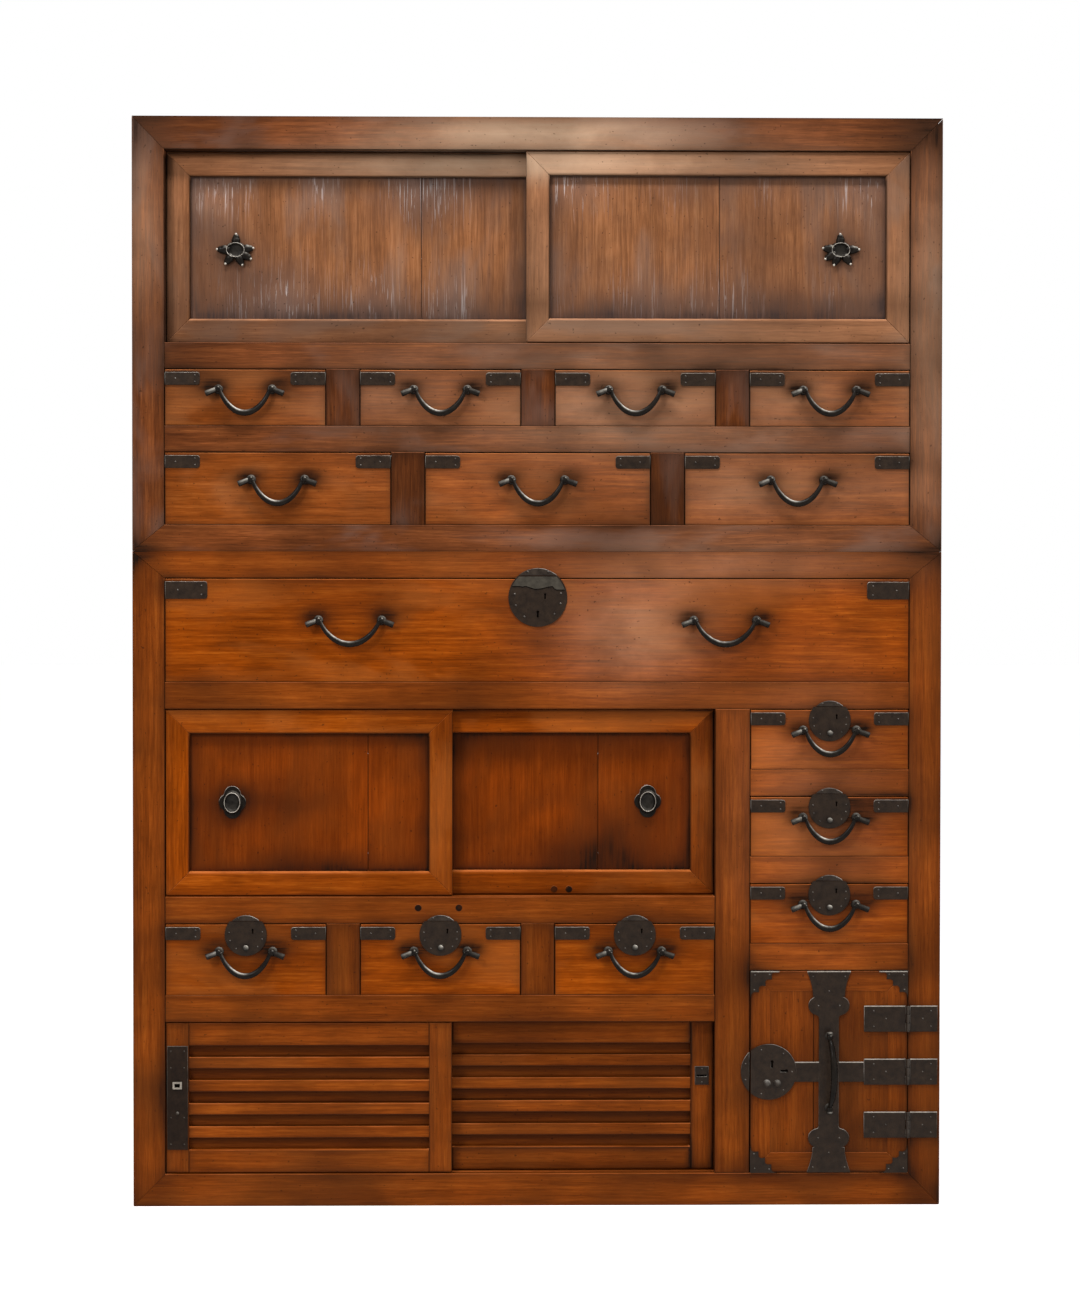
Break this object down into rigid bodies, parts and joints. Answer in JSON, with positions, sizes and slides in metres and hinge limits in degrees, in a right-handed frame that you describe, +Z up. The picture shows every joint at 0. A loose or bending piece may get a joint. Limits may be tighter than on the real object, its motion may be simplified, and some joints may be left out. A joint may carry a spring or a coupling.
{
  "type": "clothing chest",
  "caption": "Tall two-section wooden clothing chest with framed and louvred sliding doors, drawers with iron bail handles, and an iron-bound hinged cupboard door.",
  "frame": {"origin": "on the floor, under the middle of the chest's bounding box", "axes": "+Z up, the front of the chest faces -Y, +X to the right of someone facing it"},
  "size_m": [1.212, 0.4926, 1.6313],
  "materials": {
    "upper_case_wood": "aged brown lacquer, worn satin",
    "lower_case_wood": "aged orange-brown lacquer, satin",
    "drawer_wood": "aged orange-brown lacquer, satin",
    "door_panel_wood": "weathered open grain",
    "black_iron": "blackened forged iron, satin"
  },
  "bodies": {
    "case": {"upper_left_side": "upper_case_wood", "upper_right_side": "upper_case_wood", "upper_top": "upper_case_wood", "upper_door_shelf": "upper_case_wood", "upper_drawer_shelf": "upper_case_wood", "upper_bottom": "upper_case_wood", "upper_back": "upper_case_wood", "lower_left_side": "lower_case_wood", "lower_right_side": "lower_case_wood", "lower_top": "lower_case_wood", "wide_drawer_shelf": "lower_case_wood", "partition": "lower_case_wood", "sliding_door_shelf": "lower_case_wood", "small_drawer_shelf": "lower_case_wood", "right_shelf_1": "lower_case_wood", "right_shelf_2": "lower_case_wood", "right_shelf_3": "lower_case_wood", "lower_bottom": "lower_case_wood", "lower_back": "lower_case_wood", "case_hinge_top": "black_iron", "case_hinge_middle": "black_iron", "case_hinge_bottom": "black_iron"},
    "row_1_drawer_1": {"row_1_drawer_1": "drawer_wood"},
    "row_1_drawer_1_bail": {"row_1_drawer_1_bail": "black_iron"},
    "row_1_drawer_2": {"row_1_drawer_2": "drawer_wood"},
    "row_1_drawer_2_bail": {"row_1_drawer_2_bail": "black_iron"},
    "row_1_drawer_3": {"row_1_drawer_3": "drawer_wood"},
    "row_1_drawer_3_bail": {"row_1_drawer_3_bail": "black_iron"},
    "row_1_drawer_4": {"row_1_drawer_4": "drawer_wood"},
    "row_1_drawer_4_bail": {"row_1_drawer_4_bail": "black_iron"},
    "row_2_drawer_1": {"row_2_drawer_1": "drawer_wood"},
    "row_2_drawer_1_bail": {"row_2_drawer_1_bail": "black_iron"},
    "row_2_drawer_2": {"row_2_drawer_2": "drawer_wood"},
    "row_2_drawer_2_bail": {"row_2_drawer_2_bail": "black_iron"},
    "row_2_drawer_3": {"row_2_drawer_3": "drawer_wood"},
    "row_2_drawer_3_bail": {"row_2_drawer_3_bail": "black_iron"},
    "wide_drawer": {"wide_drawer": "drawer_wood"},
    "wide_drawer_bail_1": {"wide_drawer_bail_1": "black_iron"},
    "wide_drawer_bail_2": {"wide_drawer_bail_2": "black_iron"},
    "small_drawer_1": {"small_drawer_1": "drawer_wood"},
    "small_drawer_1_bail": {"small_drawer_1_bail": "black_iron"},
    "small_drawer_2": {"small_drawer_2": "drawer_wood"},
    "small_drawer_2_bail": {"small_drawer_2_bail": "black_iron"},
    "small_drawer_3": {"small_drawer_3": "drawer_wood"},
    "small_drawer_3_bail": {"small_drawer_3_bail": "black_iron"},
    "right_drawer_1": {"right_drawer_1": "drawer_wood"},
    "right_drawer_1_bail": {"right_drawer_1_bail": "black_iron"},
    "right_drawer_2": {"right_drawer_2": "drawer_wood"},
    "right_drawer_2_bail": {"right_drawer_2_bail": "black_iron"},
    "right_drawer_3": {"right_drawer_3": "drawer_wood"},
    "right_drawer_3_bail": {"right_drawer_3_bail": "black_iron"},
    "upper_left_door": {"upper_left_door": "door_panel_wood"},
    "upper_right_door": {"upper_right_door": "door_panel_wood"},
    "lower_left_door": {"lower_left_door": "lower_case_wood"},
    "lower_right_door": {"lower_right_door": "lower_case_wood"},
    "louvre_left_door": {"louvre_left_door": "lower_case_wood"},
    "louvre_right_door": {"louvre_right_door": "lower_case_wood"},
    "hinged_door": {"hinged_door": "lower_case_wood", "door_ironwork": "black_iron"},
    "door_pull": {"door_pull": "black_iron"}
  },
  "joints": [
    {"name": "row_1_drawer_1_slide", "type": "slide", "parent": "case", "child": "row_1_drawer_1", "axis": [0, -1, 0], "range_m": [0, 0.28]},
    {"name": "row_1_drawer_1_bail_swing", "type": "hinge", "parent": "row_1_drawer_1", "child": "row_1_drawer_1_bail", "pos_m": [-0.43725, -0.22144, 1.2243], "axis": [-1, 0, 0], "range_deg": [-8, 150]},
    {"name": "row_1_drawer_2_slide", "type": "slide", "parent": "case", "child": "row_1_drawer_2", "axis": [0, -1, 0], "range_m": [0, 0.28]},
    {"name": "row_1_drawer_2_bail_swing", "type": "hinge", "parent": "row_1_drawer_2", "child": "row_1_drawer_2_bail", "pos_m": [-0.14575, -0.22144, 1.2243], "axis": [-1, 0, 0], "range_deg": [-8, 150]},
    {"name": "row_1_drawer_3_slide", "type": "slide", "parent": "case", "child": "row_1_drawer_3", "axis": [0, -1, 0], "range_m": [0, 0.28]},
    {"name": "row_1_drawer_3_bail_swing", "type": "hinge", "parent": "row_1_drawer_3", "child": "row_1_drawer_3_bail", "pos_m": [0.14575, -0.22144, 1.2243], "axis": [-1, 0, 0], "range_deg": [-8, 150]},
    {"name": "row_1_drawer_4_slide", "type": "slide", "parent": "case", "child": "row_1_drawer_4", "axis": [0, -1, 0], "range_m": [0, 0.28]},
    {"name": "row_1_drawer_4_bail_swing", "type": "hinge", "parent": "row_1_drawer_4", "child": "row_1_drawer_4_bail", "pos_m": [0.43725, -0.22144, 1.2243], "axis": [-1, 0, 0], "range_deg": [-8, 150]},
    {"name": "row_2_drawer_1_slide", "type": "slide", "parent": "case", "child": "row_2_drawer_1", "axis": [0, -1, 0], "range_m": [0, 0.28]},
    {"name": "row_2_drawer_1_bail_swing", "type": "hinge", "parent": "row_2_drawer_1", "child": "row_2_drawer_1_bail", "pos_m": [-0.38867, -0.22144, 1.0898], "axis": [-1, 0, 0], "range_deg": [-8, 150]},
    {"name": "row_2_drawer_2_slide", "type": "slide", "parent": "case", "child": "row_2_drawer_2", "axis": [0, -1, 0], "range_m": [0, 0.28]},
    {"name": "row_2_drawer_2_bail_swing", "type": "hinge", "parent": "row_2_drawer_2", "child": "row_2_drawer_2_bail", "pos_m": [0, -0.22144, 1.0898], "axis": [-1, 0, 0], "range_deg": [-8, 150]},
    {"name": "row_2_drawer_3_slide", "type": "slide", "parent": "case", "child": "row_2_drawer_3", "axis": [0, -1, 0], "range_m": [0, 0.28]},
    {"name": "row_2_drawer_3_bail_swing", "type": "hinge", "parent": "row_2_drawer_3", "child": "row_2_drawer_3_bail", "pos_m": [0.38867, -0.22144, 1.0898], "axis": [-1, 0, 0], "range_deg": [-8, 150]},
    {"name": "wide_drawer_slide", "type": "slide", "parent": "case", "child": "wide_drawer", "axis": [0, -1, 0], "range_m": [0, 0.28]},
    {"name": "wide_drawer_bail_1_swing", "type": "hinge", "parent": "wide_drawer", "child": "wide_drawer_bail_1", "pos_m": [-0.281, -0.22144, 0.8796], "axis": [-1, 0, 0], "range_deg": [-8, 150]},
    {"name": "wide_drawer_bail_2_swing", "type": "hinge", "parent": "wide_drawer", "child": "wide_drawer_bail_2", "pos_m": [0.281, -0.22144, 0.8796], "axis": [-1, 0, 0], "range_deg": [-8, 150]},
    {"name": "small_drawer_1_slide", "type": "slide", "parent": "case", "child": "small_drawer_1", "axis": [0, -1, 0], "range_m": [0, 0.28]},
    {"name": "small_drawer_1_bail_swing", "type": "hinge", "parent": "small_drawer_1", "child": "small_drawer_1_bail", "pos_m": [-0.43717, -0.22144, 0.383], "axis": [-1, 0, 0], "range_deg": [-8, 150]},
    {"name": "small_drawer_2_slide", "type": "slide", "parent": "case", "child": "small_drawer_2", "axis": [0, -1, 0], "range_m": [0, 0.28]},
    {"name": "small_drawer_2_bail_swing", "type": "hinge", "parent": "small_drawer_2", "child": "small_drawer_2_bail", "pos_m": [-0.1455, -0.22144, 0.383], "axis": [-1, 0, 0], "range_deg": [-8, 150]},
    {"name": "small_drawer_3_slide", "type": "slide", "parent": "case", "child": "small_drawer_3", "axis": [0, -1, 0], "range_m": [0, 0.28]},
    {"name": "small_drawer_3_bail_swing", "type": "hinge", "parent": "small_drawer_3", "child": "small_drawer_3_bail", "pos_m": [0.14617, -0.22144, 0.383], "axis": [-1, 0, 0], "range_deg": [-8, 150]},
    {"name": "right_drawer_1_slide", "type": "slide", "parent": "case", "child": "right_drawer_1", "axis": [0, -1, 0], "range_m": [0, 0.28]},
    {"name": "right_drawer_1_bail_swing", "type": "hinge", "parent": "right_drawer_1", "child": "right_drawer_1_bail", "pos_m": [0.4385, -0.22144, 0.715], "axis": [-1, 0, 0], "range_deg": [-8, 150]},
    {"name": "right_drawer_2_slide", "type": "slide", "parent": "case", "child": "right_drawer_2", "axis": [0, -1, 0], "range_m": [0, 0.28]},
    {"name": "right_drawer_2_bail_swing", "type": "hinge", "parent": "right_drawer_2", "child": "right_drawer_2_bail", "pos_m": [0.4385, -0.22144, 0.584], "axis": [-1, 0, 0], "range_deg": [-8, 150]},
    {"name": "right_drawer_3_slide", "type": "slide", "parent": "case", "child": "right_drawer_3", "axis": [0, -1, 0], "range_m": [0, 0.28]},
    {"name": "right_drawer_3_bail_swing", "type": "hinge", "parent": "right_drawer_3", "child": "right_drawer_3_bail", "pos_m": [0.4385, -0.22144, 0.453], "axis": [-1, 0, 0], "range_deg": [-8, 150]},
    {"name": "upper_left_door_slide", "type": "slide", "parent": "case", "child": "upper_left_door", "axis": [1, 0, 0], "range_m": [0, 0.535]},
    {"name": "upper_right_door_slide", "type": "slide", "parent": "case", "child": "upper_right_door", "axis": [1, 0, 0], "range_m": [-0.535, 0]},
    {"name": "lower_left_door_slide", "type": "slide", "parent": "case", "child": "lower_left_door", "axis": [1, 0, 0], "range_m": [0, 0.39]},
    {"name": "lower_right_door_slide", "type": "slide", "parent": "case", "child": "lower_right_door", "axis": [1, 0, 0], "range_m": [-0.39, 0]},
    {"name": "louvre_left_door_slide", "type": "slide", "parent": "case", "child": "louvre_left_door", "axis": [1, 0, 0], "range_m": [0, 0.39]},
    {"name": "louvre_right_door_slide", "type": "slide", "parent": "case", "child": "louvre_right_door", "axis": [1, 0, 0], "range_m": [-0.39, 0]},
    {"name": "hinged_door_swing", "type": "hinge", "parent": "case", "child": "hinged_door", "pos_m": [0.5575, -0.21204, 0.2008], "axis": [0, 0, 1], "range_deg": [0, 110]},
    {"name": "door_pull_swing", "type": "hinge", "parent": "hinged_door", "child": "door_pull", "pos_m": [0.4385, -0.22144, 0.2008], "axis": [0, 0, 1], "range_deg": [-100, 64]}
  ]
}
